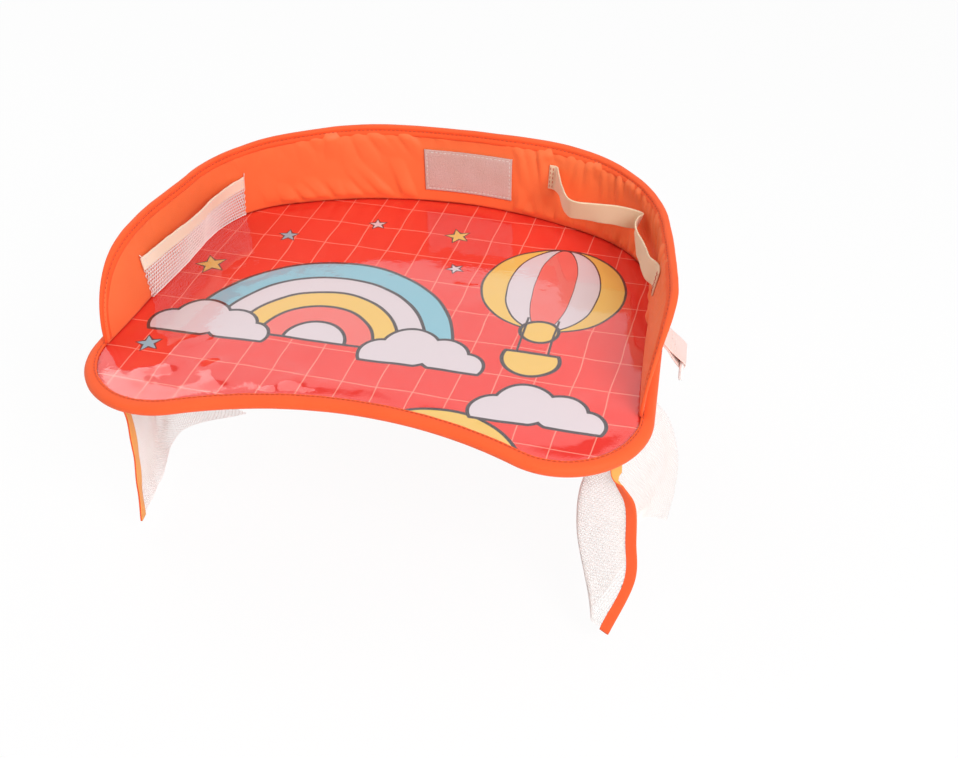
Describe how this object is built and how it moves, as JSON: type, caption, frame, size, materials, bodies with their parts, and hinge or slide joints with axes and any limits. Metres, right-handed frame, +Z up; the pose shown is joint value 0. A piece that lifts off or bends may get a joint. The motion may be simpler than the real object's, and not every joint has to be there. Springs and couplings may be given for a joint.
{
  "type": "car seat tray table",
  "caption": "Soft kidney-shaped lap tray for a child's car seat, with a padded wall, clear-covered print panel, net pocket, bottle loop, strap tabs and net skirts.",
  "frame": {"origin": "on the underside of the tray's base, in the middle of its width and its depth", "axes": "+X across the tray, from the pocket's side to the bottle loop's side; +Y from the belly cut-out to the back wall; +Z up"},
  "size_m": [0.4469, 0.3269, 0.2361],
  "materials": {
    "stiffener_board": "smooth white stiffener sheet",
    "foam": "soft closed-cell foam sheet",
    "lining_fabric": "plain woven nylon",
    "printed_fabric": "smooth printed fabric",
    "clear_film": "clear glossy flexible film",
    "orange_tape": "woven binding tape",
    "orange_nylon": "woven nylon with a soft sheen",
    "hook_and_loop": "napped loop tape",
    "white_net": "open knitted net",
    "cream_elastic": "knitted elastic",
    "white_webbing": "flat woven webbing",
    "white_plastic": "moulded, smooth"
  },
  "bodies": {
    "tray": {"base_board": "stiffener_board", "base_foam": "foam", "bottom_lining": "lining_fabric", "print_panel": "printed_fabric", "clear_cover_film": "clear_film", "edge_binding": "orange_tape", "wall_foam": "foam", "wall_inner_fabric": "orange_nylon", "wall_outer_fabric": "orange_nylon", "wall_top_binding": "orange_tape", "hook_loop_patch": "hook_and_loop", "pocket_net": "white_net", "pocket_elastic_band": "cream_elastic", "bottle_loop_band": "cream_elastic", "right_tab_anchor": "orange_nylon", "left_tab_anchor": "orange_nylon", "right_skirt_seam_tape": "orange_tape", "left_skirt_seam_tape": "orange_tape"},
    "right_tab": {"right_tab_webbing": "white_webbing"},
    "left_tab": {"left_tab_webbing": "white_webbing"},
    "right_ring": {"right_tab_ring": "white_plastic"},
    "left_ring": {"left_tab_ring": "white_plastic"},
    "right_skirt": {"right_skirt_net": "white_net", "right_skirt_edge_tape": "orange_tape"},
    "left_skirt": {"left_skirt_net": "white_net", "left_skirt_edge_tape": "orange_tape"}
  },
  "joints": [
    {"name": "right_tab_turn", "type": "hinge", "parent": "tray", "child": "right_tab", "pos_m": [0.19889, -0.01391, 0.022], "axis": [0.0523, -0.9986, 0], "range_deg": [-10, 100]},
    {"name": "left_tab_turn", "type": "hinge", "parent": "tray", "child": "left_tab", "pos_m": [-0.19889, -0.01391, 0.022], "axis": [0.0523, 0.9986, 0], "range_deg": [-10, 100]},
    {"name": "right_ring_turn", "type": "hinge", "parent": "right_tab", "child": "right_ring", "pos_m": [0.21796, -0.01291, -0.001], "axis": [0.0523, -0.9986, 0], "range_deg": [-60, 60]},
    {"name": "left_ring_turn", "type": "hinge", "parent": "left_tab", "child": "left_ring", "pos_m": [-0.21796, -0.01291, -0.001], "axis": [0.0523, 0.9986, 0], "range_deg": [-60, 60]},
    {"name": "right_skirt_swing", "type": "hinge", "parent": "tray", "child": "right_skirt", "pos_m": [0.186, -0.127, -0.0016], "axis": [0, 1, 0], "range_deg": [-50, 50]},
    {"name": "left_skirt_swing", "type": "hinge", "parent": "tray", "child": "left_skirt", "pos_m": [-0.186, -0.127, -0.0016], "axis": [0, 1, 0], "range_deg": [-50, 50]}
  ]
}
